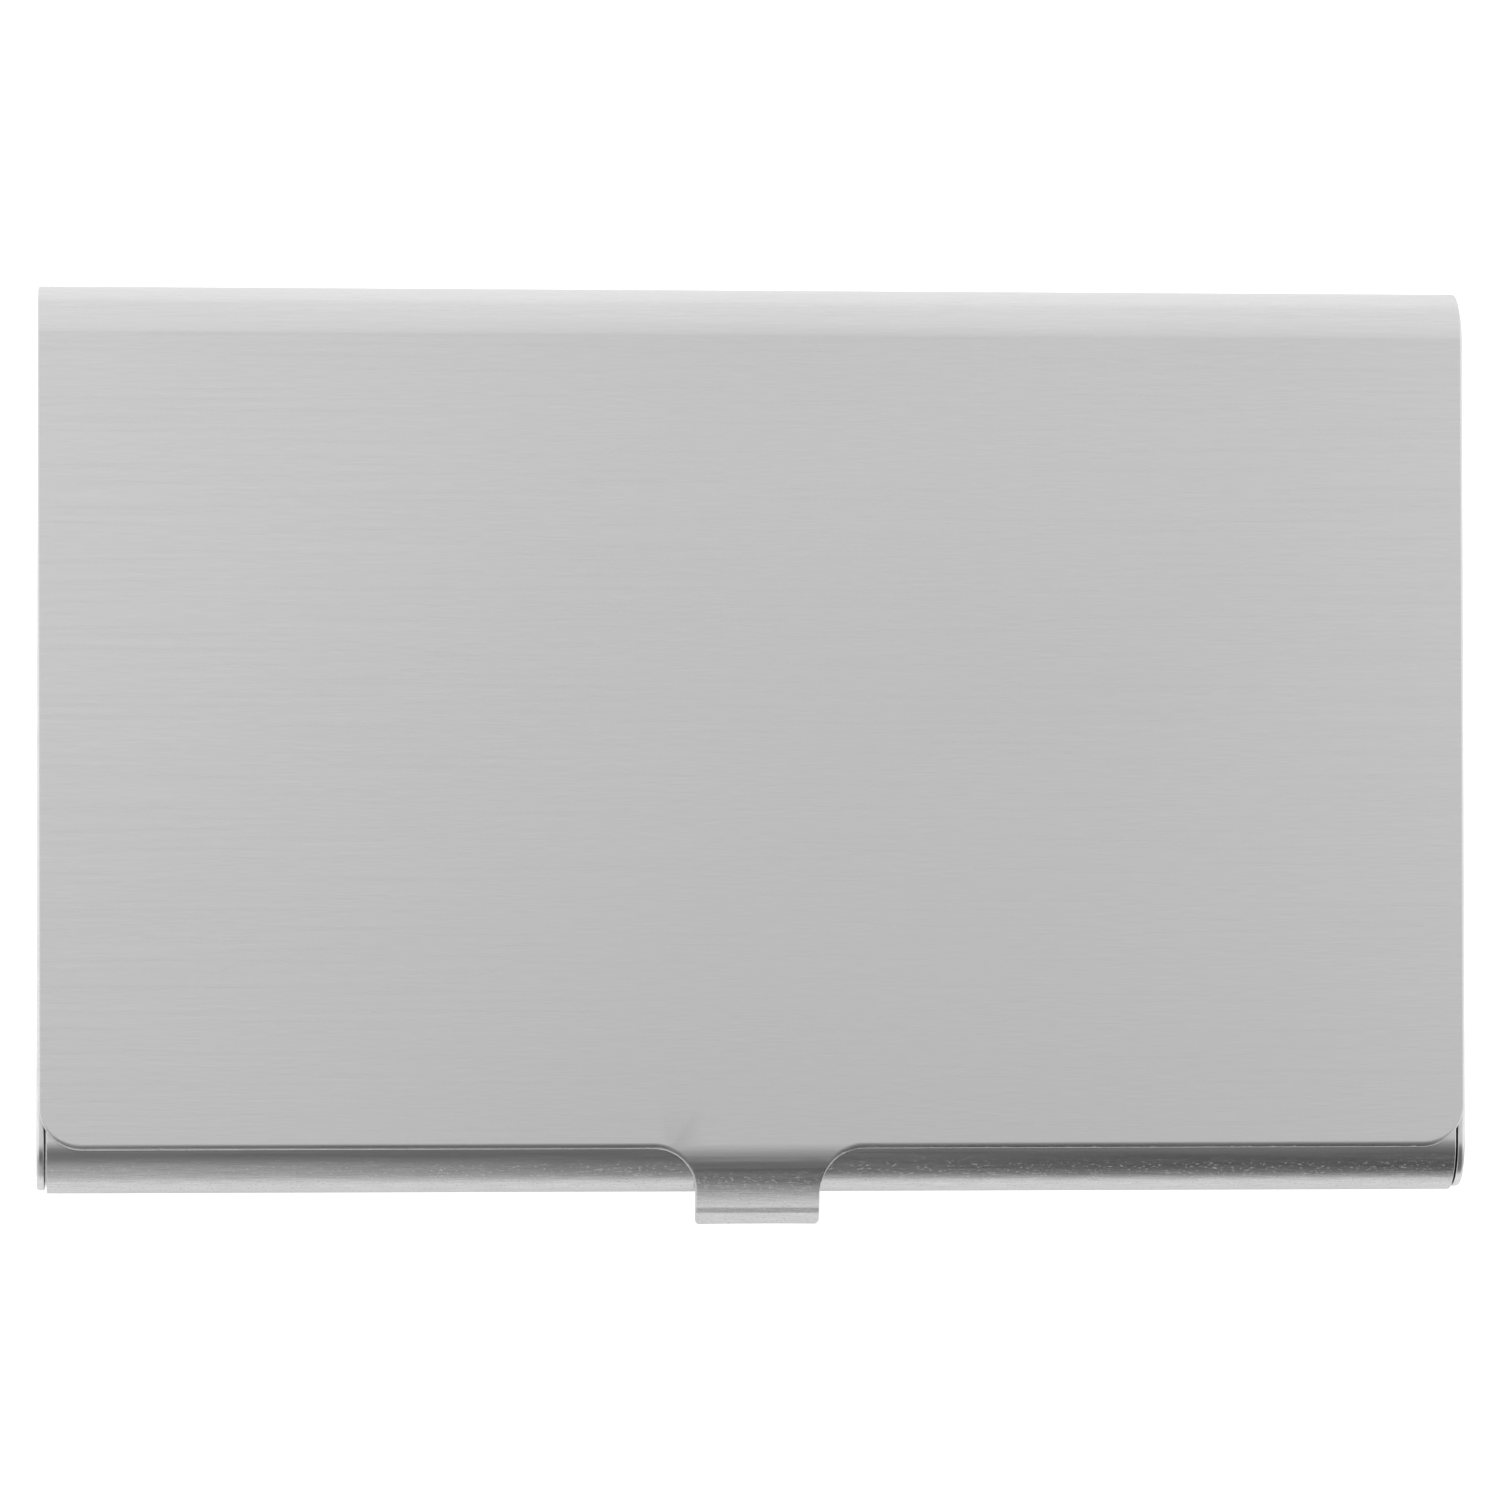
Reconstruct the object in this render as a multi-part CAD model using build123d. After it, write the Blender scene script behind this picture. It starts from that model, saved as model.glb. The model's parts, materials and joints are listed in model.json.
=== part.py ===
from build123d import *

import os
from math import cos, radians, sin

# A slim business card case, pressed from thin stainless steel sheet.
#
# The frame has +Z up, +X along the hinge and -Y towards the thumb tab. The origin is the
# middle of the case's footprint, at the level of its underside.
#
# Base and lid are nearly the same pressing, one turned half a turn against the other. The
# base's sheet rolls up and over at the front and ends under the lid. The lid's sheet rolls
# down and under at the rear and ends over the base. Two upright end plates close the sides,
# and carry the lid's hinge pins and, just below them, the pivots of a card tray. A pin on
# each of the lid's ears runs in a slot of the tray, so the tray rises as the lid opens.

# Driving dimensions, in millimetres.
CASE_WIDTH = 94.0       # over the end plates
CASE_LENGTH = 61.6      # from the rear curl to the tip of the tab
CASE_HEIGHT = 7.0
SHEET = 0.4             # thickness of the pressed parts
PLATE = 0.5             # thickness of the end plates
STACK_GAP = 0.1         # between two sheets that lie one over the other
SIDE_GAP = 0.15         # between two sheets that pass side by side
PIN_CLEARANCE = 0.05    # radial, round a pin that turns
SLOT_CLEARANCE = 0.1    # radial, round a pin that slides
PLAN_RADIUS = 2.8       # corners of lid and base, and the fillets beside the tab
EDGE_SETBACK = 2.9      # from a sheet's free edge to the far side of the curl it covers
CURL_TUCK = 0.3         # flat end of the lid's curl
FRONT_LIP = 1.5         # flat end of the base's curl, which lies under the lid
TAB_WIDTH = 8.1
TAB_REACH = 2.1         # how far the tab stands out in front of the front curl
TAB_TIP_RADIUS = 0.3
LID_INSET = 0.2         # of the lid's side edges from the outside of the end plates
PLATE_NOSE_INSET = 0.2  # of the end plates' front end from the front curl
PLATE_TAIL_INSET = 0.3  # of the end plates' rear end from the inside of the rear curl
FOOT_WIDTH = 3.0        # flanges that join the end plates to the base
FLANGE_WIDTH = 3.5      # flanges that join the ears to the lid
FLANGE_LENGTH = 7.0
TRAY_LEVEL = 1.0        # underside of the tray
TRAY_WALL_TOP = 4.4
TRAY_CORNER_RADIUS = 1.5
TRAY_FRONT_GAP = 0.2    # from the front lip to the tray
TRAY_PIVOT_BEHIND = 0.9  # tray pivots, measured from the hinge
TRAY_PIVOT_BELOW = 1.3
THUMB_RADIUS = 10.0
THUMB_DEPTH = 8.0
HINGE_PIN_RADIUS = 0.5
TRAY_PIVOT_RADIUS = 0.4
LIFT_PIN_RADIUS = 0.4
LIFT_PIN_ARM = 2.2      # from the hinge to the lift pins
SLOT_RIM = 0.6          # sheet left round the tray's slots
CURL_SIDE_GAP = 0.2     # from the tray's sides to the narrow part of the lid's curl
PIN_END = 0.05          # by which a pin's inner end passes the sheet it holds
HEAD_DEPTH = 0.25       # of the flush heads of the pins
HEAD_SPREAD = 0.25      # by which a head's radius passes its pin's
WASHER_THICKNESS = 0.1
WASHER_RADIUS = 1.0
EAR_HUB_RADIUS = 1.05
EAR_LOBE_RADIUS = 0.85

# Driving angles, in degrees.
LID_OPENING = 90
TRAY_LIFT = 27          # tray's turn while the lid goes through its whole opening
LIFT_PIN_ANGLE = 210    # direction of the lift pins from the hinge, from +Y round to +Z

# Bends of the tab, as (radius, angle): it droops over the front curl, flares out a little and
# rounds off at the tip.
TAB_BENDS = ((7.0, 9), (3.3, 30), (9.5, 12), (1.5, -6), (2.6, 25))

# Places along Y and Z that the driving dimensions give.
REAR_Y = CASE_LENGTH / 2
TAB_TIP_Y = -CASE_LENGTH / 2
FRONT_Y = TAB_TIP_Y + TAB_REACH
CURL_RADIUS = (CASE_HEIGHT - SHEET - STACK_GAP) / 2
CURL_INSIDE = CURL_RADIUS - SHEET
NOSE = (FRONT_Y + CURL_RADIUS, CURL_RADIUS)
HINGE = (REAR_Y - CURL_RADIUS, CASE_HEIGHT - CURL_RADIUS)
LID_EDGE_Y = FRONT_Y + EDGE_SETBACK
BASE_EDGE_Y = REAR_Y - EDGE_SETBACK
LID_UNDERSIDE = CASE_HEIGHT - SHEET
FLOOR_FRONT = NOSE[0] + FRONT_LIP + CURL_TUCK
TRAY_FRONT = NOSE[0] + FRONT_LIP + TRAY_FRONT_GAP
TRAY_REAR = HINGE[0] - CURL_RADIUS - SHEET
TRAY_PIVOT = (HINGE[0] + TRAY_PIVOT_BEHIND, HINGE[1] - TRAY_PIVOT_BELOW)

# Places along X, from the outside in. The parts of one side are drawn at positive X.
PLATE_OUTSIDE = CASE_WIDTH / 2
PLATE_INSIDE = PLATE_OUTSIDE - PLATE
EAR_OUTSIDE = PLATE_INSIDE - SIDE_GAP
EAR_INSIDE = EAR_OUTSIDE - SHEET
TRAY_OUTSIDE = EAR_INSIDE - SIDE_GAP
TRAY_INSIDE = TRAY_OUTSIDE - SHEET
CURL_NOTCH = TRAY_INSIDE - CURL_SIDE_GAP
LID_SIDE = PLATE_OUTSIDE - LID_INSET

# Larger than any part, for cutting tools.
BEYOND = CASE_WIDTH
# Far smaller than any part, for telling places apart.
NEARLY = 0.01


def turned(point, centre, angle):
    """A place (y, z) turned about a centre, seen with +Y to the right and +Z up."""
    along = point[0] - centre[0]
    up = point[1] - centre[1]
    cosine = cos(radians(angle))
    sine = sin(radians(angle))
    return (centre[0] + along * cosine - up * sine, centre[1] + along * sine + up * cosine)


def lift_pin(lid_angle):
    """Where the lift pin is when the lid has opened by an angle."""
    start = turned((HINGE[0] + LIFT_PIN_ARM, HINGE[1]), HINGE, LIFT_PIN_ANGLE)
    return turned(start, HINGE, -lid_angle)


def lift_pin_on_tray(lid_angle):
    """The same place marked on the tray, which has turned by its share of the lid's angle."""
    tray_angle = lid_angle * TRAY_LIFT / LID_OPENING
    return turned(lift_pin(lid_angle), TRAY_PIVOT, tray_angle)


def straight(length):
    """A step of a sheet's line that runs straight on."""
    return lambda start, heading: Line(start, start + heading * length)


def bend(radius, angle):
    """A step of a sheet's line that turns left, or right for a negative angle."""
    return lambda start, heading: JernArc(start, heading, radius, angle)


def bent_sheet(start, heading, steps, half_width):
    """Sheet whose middle line, seen from the side, takes the steps one after another."""
    place = Vector(*start)
    direction = Vector(*heading)
    line = []
    for step in steps:
        edge = step(place, direction)
        line.append(edge)
        place = edge @ 1
        direction = edge % 1
    profile = trace(line, line_width=SHEET)
    return extrude(Plane.YZ * profile, amount=half_width, both=True)


def upright(outline, inside, outside):
    """An outline in Y and Z as sheet that stands between two places along X."""
    return extrude(Plane.YZ.offset(inside) * outline, amount=outside - inside)


def flat(x_range, y_range, z_range):
    """A plain block between two places along each axis."""
    size = [high - low for low, high in (x_range, y_range, z_range)]
    corner = [low for low, high in (x_range, y_range, z_range)]
    return Pos(*corner) * Box(*size, align=(Align.MIN, Align.MIN, Align.MIN))


def disc(centre, radius):
    """A round outline about a place in Y and Z."""
    return Pos(*centre) * Circle(radius)


def block_outline(across, along):
    """A rectangular outline between two places along each of its own axes."""
    middle = (sum(across) / 2, sum(along) / 2)
    return Pos(*middle) * Rectangle(across[1] - across[0], along[1] - along[0])


def hull_of(*outlines):
    """The outline that a thread stretched round several outlines would take."""
    return make_hull([edge for outline in outlines for edge in outline.edges()])


def corners_at(outline, places):
    """The corners of a plan outline that lie at the given places."""
    return [
        corner
        for corner in outline.vertices()
        if any((Vector(*place) - Vector(corner.X, corner.Y)).length < NEARLY for place in places)
    ]


def plan_of_lid():
    """The lid seen from above, with its tab, and open-ended behind the rear curl."""
    body = block_outline((-LID_SIDE, LID_SIDE), (LID_EDGE_Y, REAR_Y + SHEET))
    tab = block_outline((-TAB_WIDTH / 2, TAB_WIDTH / 2), (TAB_TIP_Y, LID_EDGE_Y + SHEET))
    plan = body + tab
    wide = [
        (side * x, LID_EDGE_Y)
        for side in (-1, 1)
        for x in (TAB_WIDTH / 2, LID_SIDE)
    ]
    plan = fillet(corners_at(plan, wide), PLAN_RADIUS)
    tips = [(side * TAB_WIDTH / 2, TAB_TIP_Y) for side in (-1, 1)]
    return fillet(corners_at(plan, tips), TAB_TIP_RADIUS)


def lid_shell():
    curl = CURL_RADIUS - SHEET / 2
    sheet = bent_sheet(
        start=(HINGE[0] - CURL_TUCK, HINGE[1] - curl),
        heading=(1, 0),
        steps=[
            straight(CURL_TUCK),
            bend(curl, 180),
            straight(HINGE[0] - NOSE[0]),
            *[bend(radius, angle) for radius, angle in TAB_BENDS],
            straight(CURL_RADIUS),
        ],
        half_width=PLATE_OUTSIDE,
    )
    shell = sheet & extrude(plan_of_lid(), amount=CASE_HEIGHT)
    # The curl is narrower below the hinge, where it swings past the ears and the tray.
    for low, high in ((-BEYOND, -CURL_NOTCH), (CURL_NOTCH, BEYOND)):
        shell -= flat((low, high), (NOSE[0], BEYOND), (0, HINGE[1]))
    return shell


def base_shell():
    curl = CURL_RADIUS - SHEET / 2
    sheet = bent_sheet(
        start=(NOSE[0] + FRONT_LIP, NOSE[1] + curl),
        heading=(-1, 0),
        steps=[
            straight(FRONT_LIP),
            bend(curl, 180),
            straight(BASE_EDGE_Y - NOSE[0]),
        ],
        half_width=PLATE_OUTSIDE,
    )
    floor = block_outline((-PLATE_OUTSIDE, PLATE_OUTSIDE), (FLOOR_FRONT, BASE_EDGE_Y))
    floor = fillet(floor.vertices().group_by(Axis.Y)[-1], PLAN_RADIUS)
    curl_plan = block_outline((-EAR_OUTSIDE, EAR_OUTSIDE), (TAB_TIP_Y, FLOOR_FRONT))
    return sheet & extrude(floor + curl_plan, amount=CASE_HEIGHT)


def end_plate():
    nose_radius = CURL_RADIUS - PLATE_NOSE_INSET
    tail_radius = CURL_INSIDE - PLATE_TAIL_INSET
    top = HINGE[1] + tail_radius
    # Behind the foot the web keeps out of the way of the curl, which turns about the hinge.
    step_y = HINGE[0] - PLAN_RADIUS / 2
    outline = disc(NOSE, nose_radius) + disc(HINGE, tail_radius)
    outline += block_outline((NOSE[0], step_y), (SHEET, top))
    outline += block_outline((step_y, HINGE[0]), (HINGE[1] - tail_radius, top))
    outline -= block_outline((TAB_TIP_Y, step_y), (-SHEET, SHEET))
    web = upright(outline, PLATE_INSIDE, PLATE_OUTSIDE)
    foot = flat(
        (PLATE_INSIDE - FOOT_WIDTH, PLATE_INSIDE),
        (NOSE[0] + CURL_RADIUS, TRAY_REAR),
        (SHEET, SHEET + PLATE),
    )
    plate = web + foot
    for centre, radius in ((HINGE, HINGE_PIN_RADIUS), (TRAY_PIVOT, TRAY_PIVOT_RADIUS)):
        plate -= headed_pin(centre, radius, PLATE_INSIDE, PLATE_OUTSIDE)
    return plate


def headed_pin(centre, radius, inside, outside):
    """A pin from one place along X to another, with a flush cone for its head."""
    shank = upright(disc(centre, radius), inside, outside)
    seat = Plane(origin=(outside - HEAD_DEPTH, *centre), z_dir=(1, 0, 0))
    bottom = (Align.CENTER, Align.CENTER, Align.MIN)
    return shank + seat * Cone(radius, radius + HEAD_SPREAD, HEAD_DEPTH, align=bottom)


def hinge_pin():
    return headed_pin(HINGE, HINGE_PIN_RADIUS, EAR_INSIDE - PIN_END, PLATE_OUTSIDE)


def tray_pivot():
    return headed_pin(TRAY_PIVOT, TRAY_PIVOT_RADIUS, TRAY_INSIDE - PIN_END, PLATE_OUTSIDE)


def hinge_washer():
    middle = (PLATE_INSIDE + EAR_OUTSIDE) / 2
    ring = disc(HINGE, WASHER_RADIUS) - disc(HINGE, HINGE_PIN_RADIUS + PIN_CLEARANCE)
    return upright(ring, middle - WASHER_THICKNESS / 2, middle + WASHER_THICKNESS / 2)


def lid_ear():
    flange_rear = HINGE[0] - CURL_RADIUS
    flange_front = flange_rear - FLANGE_LENGTH
    root = block_outline((flange_front, flange_rear), (LID_UNDERSIDE - SHEET, LID_UNDERSIDE))
    outline = hull_of(
        disc(HINGE, EAR_HUB_RADIUS),
        disc(lift_pin(0), EAR_LOBE_RADIUS),
        root,
    )
    web = upright(outline, EAR_INSIDE, EAR_OUTSIDE)
    flange = flat(
        (EAR_OUTSIDE - FLANGE_WIDTH, EAR_INSIDE),
        (flange_front, flange_rear),
        (LID_UNDERSIDE - SHEET, LID_UNDERSIDE),
    )
    holes = disc(HINGE, HINGE_PIN_RADIUS + PIN_CLEARANCE) + disc(lift_pin(0), LIFT_PIN_RADIUS)
    return web + flange - upright(holes, EAR_INSIDE, EAR_OUTSIDE)


def lift_pin_rod():
    return upright(disc(lift_pin(0), LIFT_PIN_RADIUS), TRAY_INSIDE - PIN_END, EAR_OUTSIDE)


def tray_side():
    """One side of the tray: a low wall that grows into the slotted arm of its pivot."""
    arm_root = HINGE[0] - 3 * CURL_RADIUS
    wall = block_outline((TRAY_FRONT, arm_root), (TRAY_LEVEL, TRAY_WALL_TOP))
    wall = fillet(corners_at(wall, [(TRAY_FRONT, TRAY_WALL_TOP)]), TRAY_CORNER_RADIUS)
    slot_radius = LIFT_PIN_RADIUS + SLOT_CLEARANCE
    slot_line = ThreePointArc(*[lift_pin_on_tray(LID_OPENING * part / 2) for part in range(3)])
    rim = slot_radius + SLOT_RIM
    arm = hull_of(
        block_outline((arm_root - SHEET, arm_root), (TRAY_LEVEL, TRAY_WALL_TOP)),
        block_outline((arm_root, TRAY_REAR), (TRAY_LEVEL, TRAY_LEVEL + SHEET)),
        disc(slot_line @ 0, rim),
        disc(slot_line @ 1, rim),
        disc(TRAY_PIVOT, EAR_LOBE_RADIUS),
    )
    outline = wall + arm - SlotArc(slot_line, 2 * slot_radius)
    outline -= disc(TRAY_PIVOT, TRAY_PIVOT_RADIUS + PIN_CLEARANCE)
    return upright(outline, TRAY_INSIDE, TRAY_OUTSIDE)


def card_tray():
    floor = block_outline((-TRAY_INSIDE, TRAY_INSIDE), (TRAY_FRONT, TRAY_REAR))
    floor -= disc((0, TRAY_FRONT + THUMB_DEPTH - THUMB_RADIUS), THUMB_RADIUS)
    tray = Pos(0, 0, TRAY_LEVEL) * extrude(floor, amount=SHEET)
    side = tray_side()
    return tray + side + mirror(side, about=Plane.YZ)


def main():
    os.makedirs("parts", exist_ok=True)
    nodes = {"base_shell": base_shell(), "lid_shell": lid_shell(), "card_tray": card_tray()}
    one_side = {
        "end_plate": end_plate(),
        "hinge_pin": hinge_pin(),
        "hinge_washer": hinge_washer(),
        "tray_pivot": tray_pivot(),
        "lid_ear": lid_ear(),
        "lift_pin": lift_pin_rod(),
    }
    for name, part in one_side.items():
        nodes[f"right_{name}"] = part
        nodes[f"left_{name}"] = mirror(part, about=Plane.YZ)
    for name, part in nodes.items():
        part.label = name
        export_step(part, f"parts/{name}.step")


main()
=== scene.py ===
import json
import math

import bpy
import numpy as np
from mathutils import Matrix, Vector
from mathutils.geometry import delaunay_2d_cdt


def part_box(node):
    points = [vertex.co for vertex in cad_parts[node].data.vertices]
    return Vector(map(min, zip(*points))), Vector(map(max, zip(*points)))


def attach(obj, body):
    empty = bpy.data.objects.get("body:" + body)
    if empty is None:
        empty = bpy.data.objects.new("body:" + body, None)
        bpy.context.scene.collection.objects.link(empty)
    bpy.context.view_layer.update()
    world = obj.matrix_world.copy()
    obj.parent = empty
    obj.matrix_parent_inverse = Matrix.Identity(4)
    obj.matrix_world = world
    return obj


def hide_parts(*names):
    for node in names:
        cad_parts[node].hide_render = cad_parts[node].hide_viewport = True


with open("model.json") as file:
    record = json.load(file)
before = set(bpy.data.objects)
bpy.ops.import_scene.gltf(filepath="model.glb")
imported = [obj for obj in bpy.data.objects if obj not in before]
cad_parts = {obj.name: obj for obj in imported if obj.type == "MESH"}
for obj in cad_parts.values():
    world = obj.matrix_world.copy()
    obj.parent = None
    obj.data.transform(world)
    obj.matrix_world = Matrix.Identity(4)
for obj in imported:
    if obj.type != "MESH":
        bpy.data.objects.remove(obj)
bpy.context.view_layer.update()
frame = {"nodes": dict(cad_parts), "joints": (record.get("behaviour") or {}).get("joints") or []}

# Everything is in metres, in the frame of the CAD model: +Z up, -Y towards the thumb tab.
MM = 0.001
X, Y, Z = Vector((1, 0, 0)), Vector((0, 1, 0)), Vector((0, 0, 1))

# ---------------------------------------------------------------------------
# Sizes. Most come from the boxes and joints of the CAD model.
# ---------------------------------------------------------------------------
LID_LOW, LID_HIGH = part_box("lid_shell")
BASE_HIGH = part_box("base_shell")[1]
PLATE_LOW, PLATE_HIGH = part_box("right_end_plate")
EAR_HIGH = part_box("right_lid_ear")[1]
TRAY_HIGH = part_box("card_tray")[1]
PIVOTS = {joint["name"]: Vector(joint["pos_m"]) for joint in frame["joints"]}
HINGE = PIVOTS["lid_hinge"]

SHEET = 0.4 * MM
# Both curls are half a turn: the radius of their outside, and of the middle of the sheet.
CURL_RADIUS = (LID_HIGH.z - LID_LOW.z) / 2
CURL_MIDDLE = CURL_RADIUS - SHEET / 2
# How far the rear curl runs on under the case, and how far the tab stands out in front.
CURL_TUCK = 0.3 * MM
TAB_REACH = 2.1 * MM
FRONT_Y = LID_LOW.y + TAB_REACH
# The centre of the front curl.
NOSE = Vector((0, FRONT_Y + CURL_RADIUS, CURL_RADIUS))
LID_EDGE_Y = FRONT_Y + LID_HIGH.y - BASE_HIGH.y
# The left side of the lid comes flush with its end plate at the rear.
LID_REAR_WIDENING = 0.2 * MM
LID_REAR_LEFT = LID_LOW.x - LID_REAR_WIDENING
# Below the hinge the rear curl is narrower, and this is half its width there.
NOTCH_CLEARANCE = 0.2 * MM
CURL_NOTCH = TRAY_HIGH.x - SHEET - NOTCH_CLEARANCE
TAB_HALF_WIDTH = 4.1 * MM
TAB_SHIFT = 0.15 * MM
TAB_TIP_RADIUS = 0.22 * MM
# The tab's bends, as (radius or length, degrees), where 0 degrees is a straight length.
TAB_BENDS = [
    (7.0 * MM, 9),
    (3.3 * MM, 30),
    (9.5 * MM, 12),
    (1.4 * MM, -8),
    (0.34 * MM, 0),
    (0.9 * MM, 20),
]
# The tip of the tab stops a little short, and sits a little further to the right.
TAB_SHORTENING = 0.08 * MM
TAB_SKEW = 0.16 * MM
TAB_SIDE_RADIUS = 1.0 * MM
# The front curl is a little flatter above than a full round.
NOSE_FLATTENING = 0.28 * MM
# The corners of the lid, of the base and at the root of the tab, seen from above.
PLAN_RADIUS = 2.8 * MM
# The front curl's straight end under the lid, and its corners beside the end plates.
FRONT_LIP = 1.5 * MM
RELIEF_RADIUS = 0.2 * MM
PLATE_SHEET = 0.5 * MM
FOOT_WIDTH = 3.0 * MM
PIN_HEAD_RADII = {"lid_hinge": 0.75 * MM, "tray_lift": 0.65 * MM}

# How far the edges of the sheet are rounded over: across the face, and down the edge.
LID_EDGE = (0.42 * MM, 0.15 * MM)
CURL_EDGE = (0.06 * MM, 0.06 * MM)
PLATE_EDGE = (0.16 * MM, 0.25 * MM)
CRISP_EDGE = (0.07 * MM, 0.07 * MM)

# How finely curves and flats are divided.
BEND_STEP = math.radians(3)
CORNER_STEP = math.radians(6)
GRID = 3 * MM
ROUNDING_POINTS = 6
PLAN_SAMPLES = 4000

# How close together points may lie, along an outline and next to one.
SHORTEST_EDGE = SHEET / 100
INNER_GAP = SHEET / 4
# An edge that rises less than this share of its run counts as level.
LEVEL_SLOPE = 0.01
# A corner that turns less than this, in radians, counts as straight.
STRAIGHT_TURN = 0.01
# An inset takes up at most this share of the room that its outline leaves.
ROOM_SHARE = 0.8
# The room where an outline is straight or hollow, which is more than any inset needs.
AMPLE_ROOM = 1.0
# A sharper corner than one with this cosine is mitred no further than that one.
LEAST_MITRE_COSINE = 0.3
# Points closer than this, in millimetres, are one point when the sheet is filled.
SAME_POINT = 1e-7


# ---------------------------------------------------------------------------
# Bent sheet
# ---------------------------------------------------------------------------
class SheetLine:
    """The middle line of a bent sheet, seen from its side, walked with the outside on the right.

    A step is (length, 0) for a straight stretch, or (radius, angle) for a bend to the left,
    which a negative angle turns into a bend to the right.
    """

    def __init__(self, start, heading, steps):
        self.starts, self.points, self.headings, self.curvatures = [], [], [], []
        self.length = 0.0
        point, angle = np.array(start, float), heading
        for size, turn in steps:
            stretch = size * abs(turn) if turn else size
            self.starts.append(self.length)
            self.points.append(point)
            self.headings.append(angle)
            self.curvatures.append(turn / stretch if turn else 0.0)
            self.length += stretch
            point = self.at(np.array([self.length]))[0][0]
            angle += turn

    def at(self, along):
        """Points and headings of the line at distances along it."""
        piece = np.searchsorted(self.starts, along, side="right") - 1
        piece = np.clip(piece, 0, len(self.starts) - 1)
        first = np.array(self.points)[piece]
        angle = np.array(self.headings)[piece]
        curvature = np.array(self.curvatures)[piece]
        distance = along - np.array(self.starts)[piece]
        turned = angle + curvature * distance
        bent = np.abs(curvature) > 0
        safe = np.where(bent, curvature, 1.0)
        ahead = np.where(bent, (np.sin(turned) - np.sin(angle)) / safe, distance * np.cos(angle))
        aside = np.where(bent, (np.cos(angle) - np.cos(turned)) / safe, distance * np.sin(angle))
        return first + np.stack([ahead, aside], 1), turned

    def rows(self):
        """Distances along the line at which its surface needs a row of vertices."""
        found = []
        ends = self.starts[1:] + [self.length]
        for start, end, curvature in zip(self.starts, ends, self.curvatures):
            spacing = BEND_STEP / abs(curvature) if curvature else GRID
            count = max(1, math.ceil((end - start) / spacing))
            found.extend(np.linspace(start, end, count, endpoint=False))
        return np.array(found[1:])


def rounded(corners):
    """A closed outline through corners (u, v, radius), with an arc in place of each corner."""
    points = np.array([corner[:2] for corner in corners], float)
    outline = []
    for index, (_, _, radius) in enumerate(corners):
        corner = points[index]
        before = points[index - 1] - corner
        after = points[(index + 1) % len(points)] - corner
        before /= np.linalg.norm(before)
        after /= np.linalg.norm(after)
        inside_angle = math.acos(np.clip(before @ after, -1, 1))
        if not radius:
            outline.append(corner)
            continue
        reach = radius / math.tan(inside_angle / 2)
        middle = before + after
        centre = corner + middle / np.linalg.norm(middle) * radius / math.sin(inside_angle / 2)
        first = corner + before * reach - centre
        turn = math.pi - inside_angle
        if before[0] * after[1] - before[1] * after[0] > 0:
            turn = -turn
        count = max(2, math.ceil(abs(turn) / CORNER_STEP))
        for angle in np.linspace(0, turn, count + 1):
            cosine, sine = math.cos(angle), math.sin(angle)
            outline.append(centre + [
                first[0] * cosine - first[1] * sine,
                first[0] * sine + first[1] * cosine,
            ])
    outline = np.array(outline)
    gaps = np.linalg.norm(outline - np.roll(outline, 1, 0), axis=1)
    return outline[gaps > SHORTEST_EDGE]


def ring(centre, radius):
    """A round outline, walked clockwise, as the outline of a hole is."""
    angles = -np.arange(0, 2 * math.pi, CORNER_STEP)
    return np.stack([centre[0] + radius * np.cos(angles), centre[1] + radius * np.sin(angles)], 1)


def divided(outline, rows):
    """An outline with added points wherever it crosses a row, and along its long edges."""
    points = []
    for start, end in zip(outline, np.roll(outline, -1, 0)):
        run, rise = end - start
        if abs(rise) > abs(run) * LEVEL_SLOPE:
            shares = (rows - start[1]) / rise
        else:
            count = math.ceil(abs(run) / GRID)
            shares = np.arange(1, count) / count
        nearest = CORNER_STEP * SHEET / np.hypot(run, rise)
        shares = np.sort(shares[(shares > nearest) & (shares < 1 - nearest)])
        points += [start] + [start + share * (end - start) for share in shares]
    return np.array(points)


def outward(outline):
    """Unit directions out of the sheet at each point of an outline, and their mitre lengths."""
    ahead = np.roll(outline, -1, 0) - outline
    ahead /= np.linalg.norm(ahead, axis=1)[:, None]
    behind = np.roll(ahead, 1, 0)
    normals = np.stack([ahead[:, 1] + behind[:, 1], -ahead[:, 0] - behind[:, 0]], 1)
    normals /= np.linalg.norm(normals, axis=1)[:, None]
    cosine = normals[:, 0] * ahead[:, 1] - normals[:, 1] * ahead[:, 0]
    return normals, 1 / np.maximum(LEAST_MITRE_COSINE, cosine)


def room(outline):
    """How far in each point of an outline can be moved before its neighbours meet."""
    ahead = np.roll(outline, -1, 0) - outline
    lengths = np.linalg.norm(ahead, axis=1)
    ahead /= lengths[:, None]
    behind = np.roll(ahead, 1, 0)
    turn = np.arcsin(np.clip(behind[:, 0] * ahead[:, 1] - behind[:, 1] * ahead[:, 0], -1, 1))
    shorter = np.minimum(lengths, np.roll(lengths, 1))
    radius = np.where(
        turn > STRAIGHT_TURN, shorter / np.maximum(turn, STRAIGHT_TURN), AMPLE_ROOM
    )
    return ROOM_SHARE * np.minimum(radius, np.minimum(np.roll(radius, 1), np.roll(radius, -1)))


def within(points, loops):
    """Which points lie inside a set of outlines and outside their holes."""
    inside = np.zeros(len(points), bool)
    for loop in loops:
        for a, b in zip(loop, np.roll(loop, -1, 0)):
            crosses = (a[1] > points[:, 1]) != (b[1] > points[:, 1])
            level = np.where(crosses, points[:, 1], a[1])
            rise = b[1] - a[1] if b[1] != a[1] else 1.0
            inside ^= crosses & (points[:, 0] < a[0] + (level - a[1]) / rise * (b[0] - a[0]))
    return inside


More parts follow.
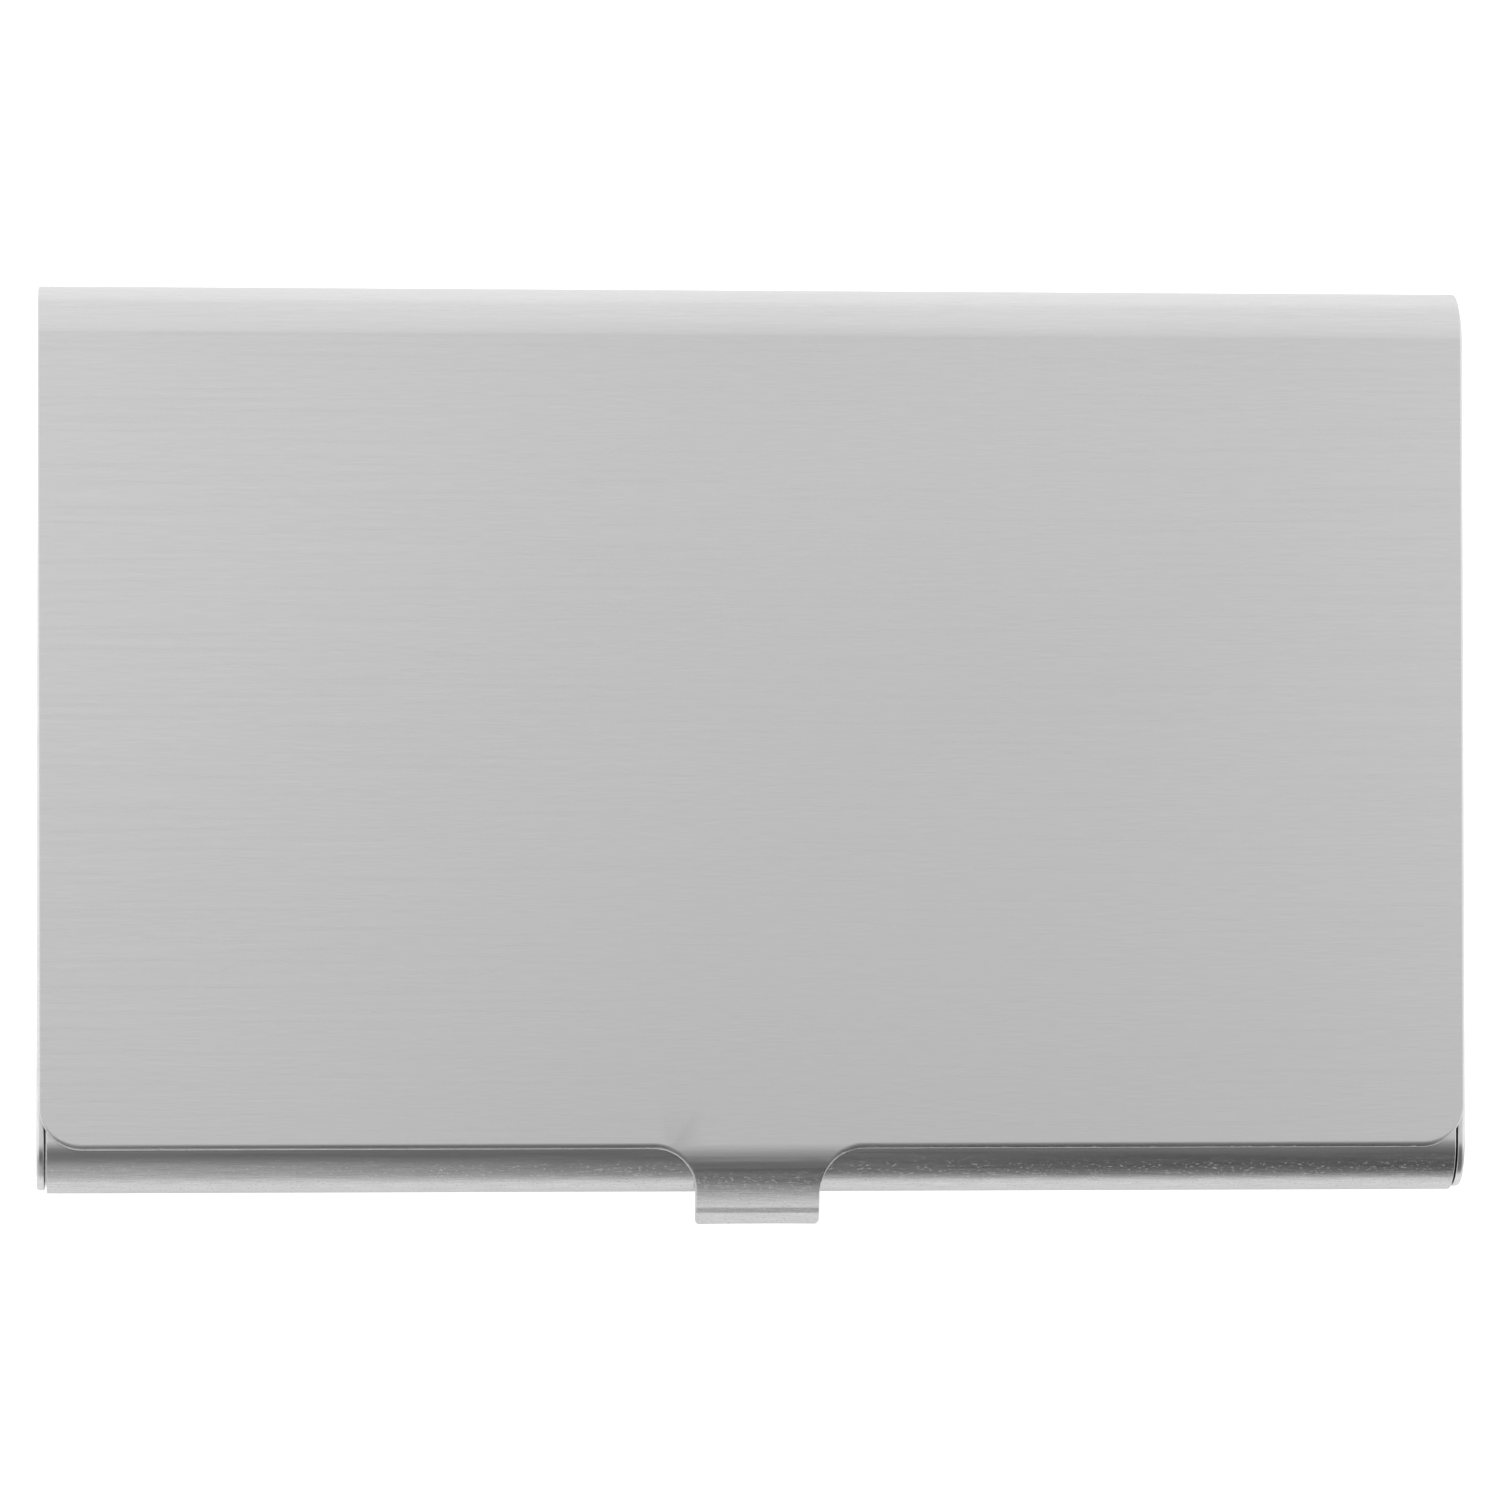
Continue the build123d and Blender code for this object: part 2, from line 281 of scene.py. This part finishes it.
def clear_of(points, loops, gap):
    """Which points lie further than a gap from every edge of a set of outlines."""
    clear = np.ones(len(points), bool)
    for loop in loops:
        for a, b in zip(loop, np.roll(loop, -1, 0)):
            edge = b - a
            share = np.clip((points - a) @ edge / (edge @ edge), 0, 1)
            nearest = a + share[:, None] * edge
            clear &= np.linalg.norm(points - nearest, axis=1) > gap
    return clear


def triangles_of(loops, rows):
    """Points and triangles that fill a set of outlines, with the outlines' points first."""
    border = np.concatenate(loops)
    across = np.arange(border[:, 0].min() + GRID / 2, border[:, 0].max(), GRID)
    inner = np.stack(np.meshgrid(across, rows), -1).reshape(-1, 2)
    inner = inner[within(inner, loops)]
    inner = inner[clear_of(inner, loops, INNER_GAP)]
    points = np.concatenate([border, inner])
    edges, first = [], 0
    for loop in loops:
        count = len(loop)
        edges += [(first + i, first + (i + 1) % count) for i in range(count)]
        first += count
    scaled = [Vector(point) for point in points / MM]
    _, _, faces, origins, _, _ = delaunay_2d_cdt(scaled, edges, [], 0, SAME_POINT)
    place = {index: origin[0] for index, origin in enumerate(origins) if origin}
    faces = np.array([[place[i] for i in face] for face in faces])
    middles = points[faces].mean(1)
    return points, faces[within(middles, loops)]


def edge_profile(soft, half):
    """The rounded edge of a sheet of a half thickness, from outer face to inner face.

    Each step is (inset from the outline, height over the middle, share of the edge's own
    direction in the normal, share of the face's direction).
    """
    steps = []
    quarter = np.linspace(0, math.pi / 2, ROUNDING_POINTS)
    across, down = soft
    for angle in quarter:
        inset, height = across * (1 - math.sin(angle)), half - down * (1 - math.cos(angle))
        lean = Vector((math.sin(angle) / across, math.cos(angle) / down)).normalized()
        steps.append((inset, height, lean.x, lean.y))
    across, down = CRISP_EDGE
    for angle in quarter[::-1]:
        inset, height = across * (1 - math.sin(angle)), -half + down * (1 - math.cos(angle))
        steps.append((inset, height, math.sin(angle), -math.cos(angle)))
    return steps


def bent_sheet(line, loops, axes, soft, side_share=1.0, sheet=SHEET):
    """A bent sheet as its points, faces, normals and unrolled places.

    loops are outlines (u, v) on the unrolled sheet, with v along the line: the first runs
    anticlockwise round the sheet, and the others clockwise round its holes. axes are the
    directions of u and of the two coordinates of the line. soft is the rounding of the outer
    edges, of which the sides along the line only get a share.
    """
    basis = np.array([list(axis) for axis in axes], float)
    places, normals, unrolled, faces = [], [], [], []

    def add(points, height, edge_share, face_share, edge_directions):
        """Adds points of the unrolled sheet at a height over its middle."""
        on_line, heading = line.at(points[:, 1])
        out = np.stack([np.sin(heading), -np.cos(heading)], 1)
        ahead = np.stack([np.cos(heading), np.sin(heading)], 1)
        section = on_line + out * height
        flat = np.concatenate([points[:, :1], section], 1)
        lean = np.concatenate([edge_directions[:, :1], ahead * edge_directions[:, 1:]], 1)
        rise = np.concatenate([np.zeros((len(points), 1)), out], 1)
        first = sum(len(group) for group in places)
        places.append(flat @ basis)
        normals.append((lean * edge_share + rise * face_share) @ basis)
        unrolled.append(points)
        return first

    profile = edge_profile(soft, sheet / 2)
    rows = line.rows()
    loops = [divided(loop, rows) for loop in loops]
    borders = [outward(loop) for loop in loops]
    softness = [
        np.minimum(side_share + (1 - side_share) * direction[:, 1] ** 2, room(loop) / soft[0])
        for loop, (direction, _) in zip(loops, borders)
    ]
    # The edges of holes stay crisp.
    softness[1:] = [np.full(len(loop), CRISP_EDGE[0] / soft[0]) for loop in loops[1:]]
    first_of_step = []
    for step, (inset, height, edge_share, face_share) in enumerate(profile):
        moved = [
            loop - direction * (mitre * share * inset)[:, None]
            for loop, (direction, mitre), share in zip(loops, borders, softness)
        ]
        directions = np.concatenate([direction for direction, _ in borders])
        if step in (0, len(profile) - 1):
            points, triangles = triangles_of(moved, rows)
            spare = np.zeros((len(points) - len(directions), 2))
            directions = np.concatenate([directions, spare])
            first = add(points, height, 0.0, face_share, directions)
            faces += (triangles + first).tolist()
        else:
            first = add(np.concatenate(moved), height, edge_share, face_share, directions)
        first_of_step.append(first)
    for upper, lower in zip(first_of_step, first_of_step[1:]):
        start = 0
        for loop in loops:
            count = len(loop)
            for i in range(count):
                j = (i + 1) % count
                corners = (upper + i, upper + j, lower + j, lower + i)
                faces.append([start + corner for corner in corners])
            start += count
    return np.concatenate(places), faces, np.concatenate(normals), np.concatenate(unrolled)


def piece_of(name, *sheets):
    """An object with exact normals, and the sheets' unrolled places as UV."""
    places = np.concatenate([sheet[0] for sheet in sheets])
    normals = np.concatenate([sheet[2] for sheet in sheets])
    unrolled = np.concatenate([sheet[3] for sheet in sheets])
    faces, first = [], 0
    for sheet in sheets:
        faces += [[first + corner for corner in face] for face in sheet[1]]
        first += len(sheet[0])
    mesh = bpy.data.meshes.new(name)
    mesh.from_pydata(places.tolist(), [], faces)
    for polygon in mesh.polygons:
        polygon.use_smooth = True
        outwards = Vector(normals[list(polygon.vertices)].sum(0))
        if outwards.dot(polygon.normal) < 0:
            polygon.flip()
    layer = mesh.uv_layers.new(name="unrolled")
    for loop in mesh.loops:
        layer.data[loop.index].uv = unrolled[loop.vertex_index]
    mesh.normals_split_custom_set_from_vertices(
        (normals / np.linalg.norm(normals, axis=1)[:, None]).tolist()
    )
    mesh.update()
    piece = bpy.data.objects.new(name, mesh)
    bpy.context.scene.collection.objects.link(piece)
    return piece


# ---------------------------------------------------------------------------
# The pieces
# ---------------------------------------------------------------------------
def both_sides(right_half):
    """A closed outline from its right half, walked anticlockwise."""
    return right_half + [(-u, v, radius) for u, v, radius in reversed(right_half)]


def lid_line():
    """The lid from its edge under the rear curl, over the top, to beyond the tip of its tab."""
    return SheetLine(
        start=(HINGE.y - CURL_TUCK, HINGE.z - CURL_MIDDLE),
        heading=0.0,
        steps=[
            (CURL_TUCK, 0),
            (CURL_MIDDLE, math.pi),
            (HINGE.y - NOSE.y, 0),
            *[(radius, math.radians(angle)) for radius, angle in TAB_BENDS],
            (CURL_RADIUS, 0),
        ],
    )


def lid_piece():
    """Top sheet with rear curl and thumb tab."""
    line = lid_line()
    top_of_curl = CURL_TUCK + CURL_MIDDLE * math.pi
    level_with_hinge = CURL_TUCK + CURL_MIDDLE * math.pi / 2
    # Seen from above, the sheet runs from the top of the curl to the tip of the tab.
    along = np.linspace(top_of_curl, line.length, PLAN_SAMPLES)
    seen_y = line.at(along)[0][:, 0]

    def unrolled_at(y):
        """Distances along the sheet of points that lie at y when seen from above."""
        return np.interp(-y, -seen_y, along)

    left, right = TAB_SHIFT - TAB_HALF_WIDTH, TAB_SHIFT + TAB_HALF_WIDTH
    tip_y = LID_LOW.y + TAB_SHORTENING
    plan = rounded([
        (0, HINGE.y, 0),
        (LID_REAR_LEFT, HINGE.y, 0),
        (LID_LOW.x, LID_EDGE_Y, PLAN_RADIUS),
        (left, LID_EDGE_Y, PLAN_RADIUS),
        (left, FRONT_Y, TAB_SIDE_RADIUS),
        (left + TAB_SKEW, tip_y, TAB_TIP_RADIUS),
        (right + TAB_SKEW, tip_y, TAB_TIP_RADIUS),
        (right, FRONT_Y, TAB_SIDE_RADIUS),
        (right, LID_EDGE_Y, PLAN_RADIUS),
        (LID_HIGH.x, LID_EDGE_Y, PLAN_RADIUS),
        (LID_HIGH.x, HINGE.y, 0),
    ])[1:]
    front = np.stack([plan[:, 0], unrolled_at(plan[:, 1])], 1)[1:-1]
    rear = np.array([
        (LID_HIGH.x, level_with_hinge),
        (CURL_NOTCH, level_with_hinge),
        (CURL_NOTCH, 0),
        (-CURL_NOTCH, 0),
        (-CURL_NOTCH, level_with_hinge),
        (LID_REAR_LEFT, level_with_hinge),
    ])
    outline = np.concatenate([front, rear])[::-1]
    sheet = bent_sheet(line, [outline], (X, Y, Z), LID_EDGE, side_share=0.3)
    return piece_of("brushed_lid", sheet)


def eighth_turn_radius(reach, other_reach):
    """Radius of one of two eighth turns, which together reach two different distances."""
    share = math.sqrt(0.5)
    return (reach * share - other_reach * (1 - share)) / (share ** 2 - (1 - share) ** 2)


def base_piece():
    """Bottom sheet with front curl."""
    # Two radii that meet halfway give the upper front a depth and height of their own.
    depth = CURL_RADIUS + NOSE_FLATTENING
    upper = eighth_turn_radius(depth, CURL_RADIUS)
    lower = eighth_turn_radius(CURL_RADIUS, depth)
    line = SheetLine(
        start=(NOSE.y + FRONT_LIP, NOSE.z + CURL_MIDDLE),
        heading=math.pi,
        steps=[
            (FRONT_LIP - NOSE_FLATTENING, 0),
            (upper - SHEET / 2, math.pi / 4),
            (lower - SHEET / 2, math.pi / 4),
            (CURL_MIDDLE, math.pi / 2),
            (BASE_HIGH.y - NOSE.y, 0),
        ],
    )
    relief = line.starts[-1] + FRONT_LIP + CURL_TUCK
    outline = rounded(both_sides([
        (EAR_HIGH.x, 0, 0),
        (EAR_HIGH.x, relief, RELIEF_RADIUS),
        (BASE_HIGH.x, relief, RELIEF_RADIUS),
        (BASE_HIGH.x, line.length, PLAN_RADIUS),
    ]))
    return piece_of("brushed_base", bent_sheet(line, [outline], (X, Y, Z), CURL_EDGE))


def end_plate_piece(name, side):
    """Upright sheet that closes one side, with the foot that joins it to the base.

    side is 1 for the right and -1 for the left.
    """
    inside = BASE_HIGH.x - PLATE_SHEET
    nose_radius = NOSE.y - PLATE_LOW.y
    tail_radius = PLATE_HIGH.y - HINGE.y
    low = PLATE_LOW.z
    step_y = HINGE.y - PLAN_RADIUS / 2
    web_outline = rounded([
        (PLATE_LOW.y, low, NOSE.z - low),
        (step_y, low, 0),
        (step_y, HINGE.z - tail_radius, 0),
        (PLATE_HIGH.y, HINGE.z - tail_radius, tail_radius),
        (PLATE_HIGH.y, PLATE_HIGH.z, tail_radius),
        (PLATE_LOW.y, PLATE_HIGH.z, nose_radius),
    ])
    holes = [
        ring((PIVOTS[joint].y, PIVOTS[joint].z), radius)
        for joint, radius in PIN_HEAD_RADII.items()
    ]
    upright = SheetLine(
        start=(0, -inside - PLATE_SHEET / 2), heading=0.0, steps=[(PLATE_HIGH.z, 0)]
    )
    axes = (Y, Z, -X * side)
    web = bent_sheet(upright, [web_outline, *holes], axes, PLATE_EDGE, sheet=PLATE_SHEET)

    foot_outline = rounded([
        (inside - FOOT_WIDTH, NOSE.y + CURL_RADIUS, 0),
        (inside + PLATE_SHEET / 2, NOSE.y + CURL_RADIUS, 0),
        (inside + PLATE_SHEET / 2, HINGE.y - CURL_RADIUS - SHEET, 0),
        (inside - FOOT_WIDTH, HINGE.y - CURL_RADIUS - SHEET, 0),
    ])
    level = SheetLine(start=(0, -SHEET - PLATE_SHEET / 2), heading=0.0, steps=[(HINGE.y, 0)])
    foot = bent_sheet(level, [foot_outline], (X * side, Y, -Z), CRISP_EDGE, sheet=PLATE_SHEET)
    return piece_of(name, web, foot)


# ---------------------------------------------------------------------------
# Materials
# ---------------------------------------------------------------------------
# How close together the features of each noise lie along X, Y and Z, per metre.
HAIRLINES = (500, 12000, 12000)
STREAKS = (60, 3000, 3000)
SCUFFS = (3500, 8000, 8000)
HAZE = (25, 40, 40)
SHEET_GRAIN = (4000, 600, 4000)
SHEET_HAZE = (150, 150, 150)
PLASTIC_GRAIN = (3000, 3000, 3000)

# The values between which most of a noise lies, for plain noise and for the hairlines.
NOISE_SPAN = (0.3, 0.7)
HAIR_SPAN = (0.35, 0.65)

# How deep the bumps of the brushing and of the rolled grain are.
BRUSHING_DEPTH = 0.008 * MM
GRAIN_DEPTH = 0.004 * MM


class Nodes:
    """Short calls for building a node tree."""

    def __init__(self, tree):
        self.tree = tree
        tree.nodes.clear()

    def add(self, kind, inputs=None, **settings):
        """A new node, whose inputs are plain values or the outputs of other nodes."""
        node = self.tree.nodes.new(kind)
        for key, value in settings.items():
            setattr(node, key, value)
        for key, value in (inputs or {}).items():
            self.put(node.inputs[key], value)
        return node

    def put(self, socket, value):
        """Gives an input its plain value, or links it to another node's output."""
        if isinstance(value, bpy.types.NodeSocket):
            self.tree.links.new(value, socket)
        else:
            socket.default_value = value

    def math(self, operation, first, second=0.0, third=0.0):
        node = self.add("ShaderNodeMath", {0: first, 1: second, 2: third}, operation=operation)
        return node.outputs[0]

    def product(self, first, *others):
        """All the values multiplied together."""
        for other in others:
            first = self.math("MULTIPLY", first, other)
        return first

    def place(self):
        """Where the shaded point lies in the frame of its object."""
        return self.add("ShaderNodeTexCoord").outputs["Object"]

    def split(self, vector):
        """The X, Y and Z of a vector."""
        return self.add("ShaderNodeSeparateXYZ", {0: vector}).outputs

    def noise(self, place, closeness, detail=2.0, roughness=0.5):
        """Cloudy noise with features of a given closeness along each axis."""
        stretched = self.add("ShaderNodeVectorMath", {0: place, 1: closeness}, operation="MULTIPLY")
        node = self.add("ShaderNodeTexNoise", {
            "Vector": stretched.outputs[0],
            "Scale": 1.0,
            "Detail": detail,
            "Roughness": roughness,
        })
        return node.outputs["Fac"]

    def mapped(self, value, low, high, to_low, to_high, smooth=False):
        """A value moved from one range to another, and held at the ends."""
        node = self.add("ShaderNodeMapRange", {
            "Value": value,
            "From Min": low,
            "From Max": high,
            "To Min": to_low,
            "To Max": to_high,
        }, interpolation_type="SMOOTHSTEP" if smooth else "LINEAR")
        return node.outputs["Result"]

    def grey(self, tone):
        """A neutral colour of a given tone."""
        return self.add("ShaderNodeCombineColor", {0: tone, 1: tone, 2: tone}).outputs[0]

    def finish(self, kind, shader):
        """Adds the output node of the tree."""
        output = self.add(kind)
        self.put(output.inputs["Surface"], shader.outputs[0])


def new_material(name):
    material = bpy.data.materials.new(name)
    material.use_nodes = True
    return material, Nodes(material.node_tree)


def wear(nodes, place):
    """How worn brushed steel is: most on the bends at the front, where it is handled."""
    facing = nodes.add("ShaderNodeTexCoord").outputs["Normal"]
    upright = nodes.math("ABSOLUTE", nodes.split(facing)[2])
    bent = nodes.mapped(upright, 0.985, 0.85, 0.0, 1.0, smooth=True)
    in_front = nodes.mapped(nodes.split(place)[1], NOSE.y, HINGE.y, 1.0, 0.12)
    # Where a bend turns steep it is out of the way, and stays smoother.
    in_reach = nodes.mapped(upright, 0.2, 0.6, 0.2, 1.0)
    return nodes.product(bent, in_front, in_reach)


def brushed_steel():
    """Stainless steel with fine hairlines along X."""
    material, nodes = new_material("brushed_steel")
    place = nodes.place()
    worn = wear(nodes, place)
    hair = nodes.noise(place, HAIRLINES, detail=4.0, roughness=0.65)
    streak = nodes.noise(place, STREAKS)
    haze = nodes.noise(place, HAZE, detail=1.0)
    # Small scuffs scatter light, so they show up in the dark reflections.
    scuffs = nodes.noise(place, SCUFFS, detail=1.0)
    scuffs = nodes.product(nodes.mapped(scuffs, 0.61, 0.68, 0.0, 1.0), worn)
    contrast = nodes.mapped(hair, *HAIR_SPAN, -0.09, 0.09)
    tone = nodes.product(
        nodes.mapped(hair, *HAIR_SPAN, 0.67, 0.7),
        nodes.mapped(streak, *NOISE_SPAN, 0.985, 1.015),
        nodes.mapped(haze, *NOISE_SPAN, 0.99, 1.01),
        nodes.math("MULTIPLY_ADD", contrast, worn, 1.0),
    )
    bump = nodes.add("ShaderNodeBump", {
        "Height": nodes.math("MULTIPLY_ADD", scuffs, 0.5, hair),
        "Strength": nodes.mapped(worn, 0.0, 1.0, 0.015, 0.35),
        "Distance": BRUSHING_DEPTH,
    })
    normal = nodes.add("ShaderNodeNewGeometry").outputs["Normal"]
    across = nodes.add("ShaderNodeVectorMath", {0: normal, 1: X}, operation="CROSS_PRODUCT")
    shader = nodes.add("ShaderNodeBsdfPrincipled", {
        "Base Color": nodes.grey(tone),
        "Metallic": nodes.math("MULTIPLY_ADD", scuffs, -0.4, 1.0),
        "Roughness": nodes.mapped(streak, *NOISE_SPAN, 0.23, 0.28),
        "Anisotropic": 0.75,
        "Tangent": across.outputs[0],
        "Normal": bump.outputs[0],
    })
    nodes.finish("ShaderNodeOutputMaterial", shader)
    return material


def plain_steel(name, shade, rough):
    """Cold-rolled steel with a faint grain along Y."""
    material, nodes = new_material(name)
    place = nodes.place()
    grain = nodes.noise(place, SHEET_GRAIN)
    haze = nodes.noise(place, SHEET_HAZE)
    tone = nodes.product(
        nodes.mapped(grain, *NOISE_SPAN, shade * 0.95, shade * 1.05),
        nodes.mapped(haze, *NOISE_SPAN, 0.96, 1.04),
    )
    bump = nodes.add("ShaderNodeBump", {"Height": grain, "Strength": 0.1, "Distance": GRAIN_DEPTH})
    shader = nodes.add("ShaderNodeBsdfPrincipled", {
        "Base Color": nodes.grey(tone),
        "Metallic": 1.0,
        "Roughness": nodes.mapped(haze, *NOISE_SPAN, rough * 0.9, rough * 1.1),
        "Normal": bump.outputs[0],
    })
    nodes.finish("ShaderNodeOutputMaterial", shader)
    return material


def washer_plastic():
    """Natural white plastic, slightly yellow."""
    material, nodes = new_material("washer_plastic")
    tone = nodes.mapped(nodes.noise(nodes.place(), PLASTIC_GRAIN), *NOISE_SPAN, 0.74, 0.8)
    yellowed = nodes.product(tone, 0.95)
    colour = nodes.add("ShaderNodeCombineColor", {0: tone, 1: tone, 2: yellowed})
    shader = nodes.add("ShaderNodeBsdfPrincipled", {
        "Base Color": colour.outputs[0],
        "Roughness": 0.5,
    })
    nodes.finish("ShaderNodeOutputMaterial", shader)
    return material


# ---------------------------------------------------------------------------
# Studio: a soft surround, a pale floor and the camera
# ---------------------------------------------------------------------------
# Brightness of the surround by its angle in degrees from straight up, positive to the front:
# a wide soft light overhead and behind, and a dark front.
SURROUND = [
    (-180, 1.0), (-95, 1.0), (-75, 1.0), (-50, 0.97), (-30, 1.02), (-8, 1.1), (0, 1.06),
    (4, 0.93), (7, 0.62), (10, 0.34), (14, 0.2), (20, 0.15), (28, 0.12), (45, 0.08), (75, 0.07),
    (86, 0.12), (100, 0.6), (180, 0.9),
]
FRONT_LAMP = 0.5
STAND_SHADE = 0.19
# Brightness of both sides, towards the rear and towards the front.
SIDE_LEVELS = (1.18, 0.55)

FLOOR_HALF_SIZE = 3.0
FLOOR_DROP = 0.02 * MM
# The floor's own light, in front of the case and behind it, and what the camera sees on top.
FLOOR_GLOW = (0.3, 0.48)
FLOOR_GLOW_REACH = 60 * MM
FLOOR_GLOW_SEEN = 0.5

# The camera looks almost straight down, from a little to the left of the middle.
CAMERA_DISTANCE = 0.5
CAMERA_NEAR_END = 0.01
CAMERA_LEAN_FRONT = math.radians(1.57)
CAMERA_LEAN_LEFT = math.radians(4.4)
CAMERA_ROLL = math.radians(0.07)
# Blender counts the sensor in millimetres, and the lens with it.
SENSOR_WIDTH = 36
VIEW_WIDTH = 99.75 * MM
VIEW_MIDDLE = (0.11 * MM, 0.51 * MM)


def level_by_angle(nodes, angle):
    """Brightness of the surround at an angle in degrees from straight up."""
    ramp = nodes.add("ShaderNodeValToRGB", {0: nodes.mapped(angle, -180, 180, 0.0, 1.0)})
    stops = ramp.color_ramp.elements
    while len(stops) < len(SURROUND):
        stops.new(0.5)
    for stop, (degrees, level) in zip(stops, SURROUND):
        stop.position = (degrees + 180) / 360
        stop.color = (level, level, level, 1)
    return ramp.outputs[0]


def surround():
    """Light from all round: bright overhead, behind and at the sides, and dark in front."""
    world = bpy.data.worlds.new("soft_surround")
    world.use_nodes = True
    bpy.context.scene.world = world
    nodes = Nodes(world.node_tree)
    direction = nodes.add("ShaderNodeTexCoord").outputs["Generated"]
    sideways, backwards, up = nodes.split(direction)
    forwards = nodes.product(backwards, -1.0)
    angle = nodes.math("DEGREES", nodes.math("ARCTAN2", forwards, up))
    level = level_by_angle(nodes, angle)

    # A second light stands in front, on the left.
    in_front = nodes.mapped(angle, 36, 58, 0.0, 1.0, smooth=True)
    on_left = nodes.mapped(sideways, 0.02, 0.075, 1.0, 0.0, smooth=True)
    level = nodes.math("ADD", level, nodes.product(in_front, on_left, FRONT_LAMP))

    # The camera stand takes a little of the overhead light away, just right of the middle.
    overhead = nodes.mapped(nodes.math("ABSOLUTE", angle), 20, 45, 1.0, 0.0, smooth=True)
    stand = nodes.product(
        nodes.mapped(sideways, -0.05, 0.09, 0.0, 1.0, smooth=True),
        nodes.mapped(sideways, 0.1, 0.26, 1.0, 0.0, smooth=True),
    )
    taken = nodes.product(overhead, stand, STAND_SHADE)
    level = nodes.product(level, nodes.math("SUBTRACT", 1.0, taken))

    # Both sides are bright, less so towards the front.
    beside = nodes.mapped(nodes.math("ABSOLUTE", sideways), 0.25, 0.7, 0.0, 1.0, smooth=True)
    side_level = nodes.mapped(angle, 20, 55, *SIDE_LEVELS, smooth=True)
    rest = nodes.product(level, nodes.math("SUBTRACT", 1.0, beside))
    level = nodes.math("ADD", rest, nodes.product(beside, side_level))

    shade = nodes.add("ShaderNodeBackground", {"Color": level, "Strength": 1.0})
    nodes.finish("ShaderNodeOutputWorld", shade)


def floor_material():
    """Pale floor that glows, more behind the case than in front, and not under it, where a painted
    contact shadow is cut out.
    """
    material, nodes = new_material("floor")
    sideways, backwards, _ = nodes.split(nodes.place())
    glow = nodes.mapped(backwards, -FLOOR_GLOW_REACH, FLOOR_GLOW_REACH, *FLOOR_GLOW, smooth=True)
    seen = nodes.add("ShaderNodeLightPath").outputs["Is Camera Ray"]
    glow = nodes.math("MULTIPLY_ADD", seen, FLOOR_GLOW_SEEN, glow)

    # Painted contact shadow: under the case, set by position, the floor loses its glow and only has
    # the light that reaches it.
    outside = nodes.math("ABSOLUTE", sideways)
    beside = nodes.mapped(outside, BASE_HIGH.x - SHEET, BASE_HIGH.x, 0.0, 1.0, smooth=True)
    before = nodes.mapped(backwards, FRONT_Y, FRONT_Y + 2 * SHEET, 1.0, 0.0, smooth=True)
    behind = nodes.mapped(backwards, HINGE.y - CURL_RADIUS, HINGE.y, 0.0, 1.0, smooth=True)
    outside_painted_shadow = nodes.math("MAXIMUM", beside, nodes.math("MAXIMUM", before, behind))
    diffuse = nodes.add("ShaderNodeBsdfDiffuse", {"Color": (0.8, 0.8, 0.8, 1)})
    light = nodes.add("ShaderNodeEmission", {
        "Color": (1, 1, 1, 1),
        "Strength": nodes.product(glow, outside_painted_shadow),
    })
    both = nodes.add("ShaderNodeAddShader", {0: diffuse.outputs[0], 1: light.outputs[0]})
    nodes.finish("ShaderNodeOutputMaterial", both)
    return material


def floor():
    """A level square that goes on to the horizon, a hair below the case."""
    size = FLOOR_HALF_SIZE
    corners = [(-size, -size), (size, -size), (size, size), (-size, size)]
    mesh = bpy.data.meshes.new("floor")
    mesh.from_pydata([(x, y, -FLOOR_DROP) for x, y in corners], [], [(0, 1, 2, 3)])
    mesh.materials.append(floor_material())
    piece = bpy.data.objects.new("floor", mesh)
    bpy.context.scene.collection.objects.link(piece)


def camera():
    """The camera, set over the middle of its view, then rolled and leaned about the origin."""
    data = bpy.data.cameras.new("camera")
    data.sensor_width = SENSOR_WIDTH
    data.lens = SENSOR_WIDTH * CAMERA_DISTANCE / VIEW_WIDTH
    data.clip_start = CAMERA_NEAR_END
    piece = bpy.data.objects.new("camera", data)
    bpy.context.scene.collection.objects.link(piece)
    lean = Matrix.Rotation(CAMERA_LEAN_FRONT, 4, "X") @ Matrix.Rotation(-CAMERA_LEAN_LEFT, 4, "Y")
    roll = Matrix.Rotation(CAMERA_ROLL, 4, "Z")
    piece.matrix_world = lean @ roll @ Matrix.Translation((*VIEW_MIDDLE, CAMERA_DISTANCE))
    bpy.context.scene.camera = piece


# ---------------------------------------------------------------------------
# Scene
# ---------------------------------------------------------------------------
def paint(piece, material):
    """Gives a piece its only material."""
    piece.data.materials.clear()
    piece.data.materials.append(material)


def stand_in(piece, body, node, material):
    """Shows a piece, on a moving body, in place of a node of the CAD model."""
    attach(piece, body)
    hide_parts(node)
    paint(piece, material)


def main():
    steel = brushed_steel()
    sheet = plain_steel("plain_sheet", shade=0.74, rough=0.28)
    dull_sheet = plain_steel("dull_sheet", shade=0.62, rough=0.34)
    pin = plain_steel("pin_steel", shade=0.7, rough=0.2)
    plastic = washer_plastic()

    stand_in(lid_piece(), "lid", "lid_shell", steel)
    stand_in(base_piece(), "base", "base_shell", steel)
    for name, side in (("right_end_plate", 1), ("left_end_plate", -1)):
        stand_in(end_plate_piece("bare_" + name, side), "base", name, sheet)

    for name, node in frame["nodes"].items():
        if name.endswith(("_shell", "_end_plate")):
            continue
        if "washer" in name:
            paint(node, plastic)
        elif "pin" in name or "pivot" in name:
            paint(node, pin)
        else:
            paint(node, dull_sheet)

    surround()
    floor()
    camera()
    bpy.context.scene.view_settings.view_transform = "Standard"
    bpy.context.scene.view_settings.look = "None"


main()
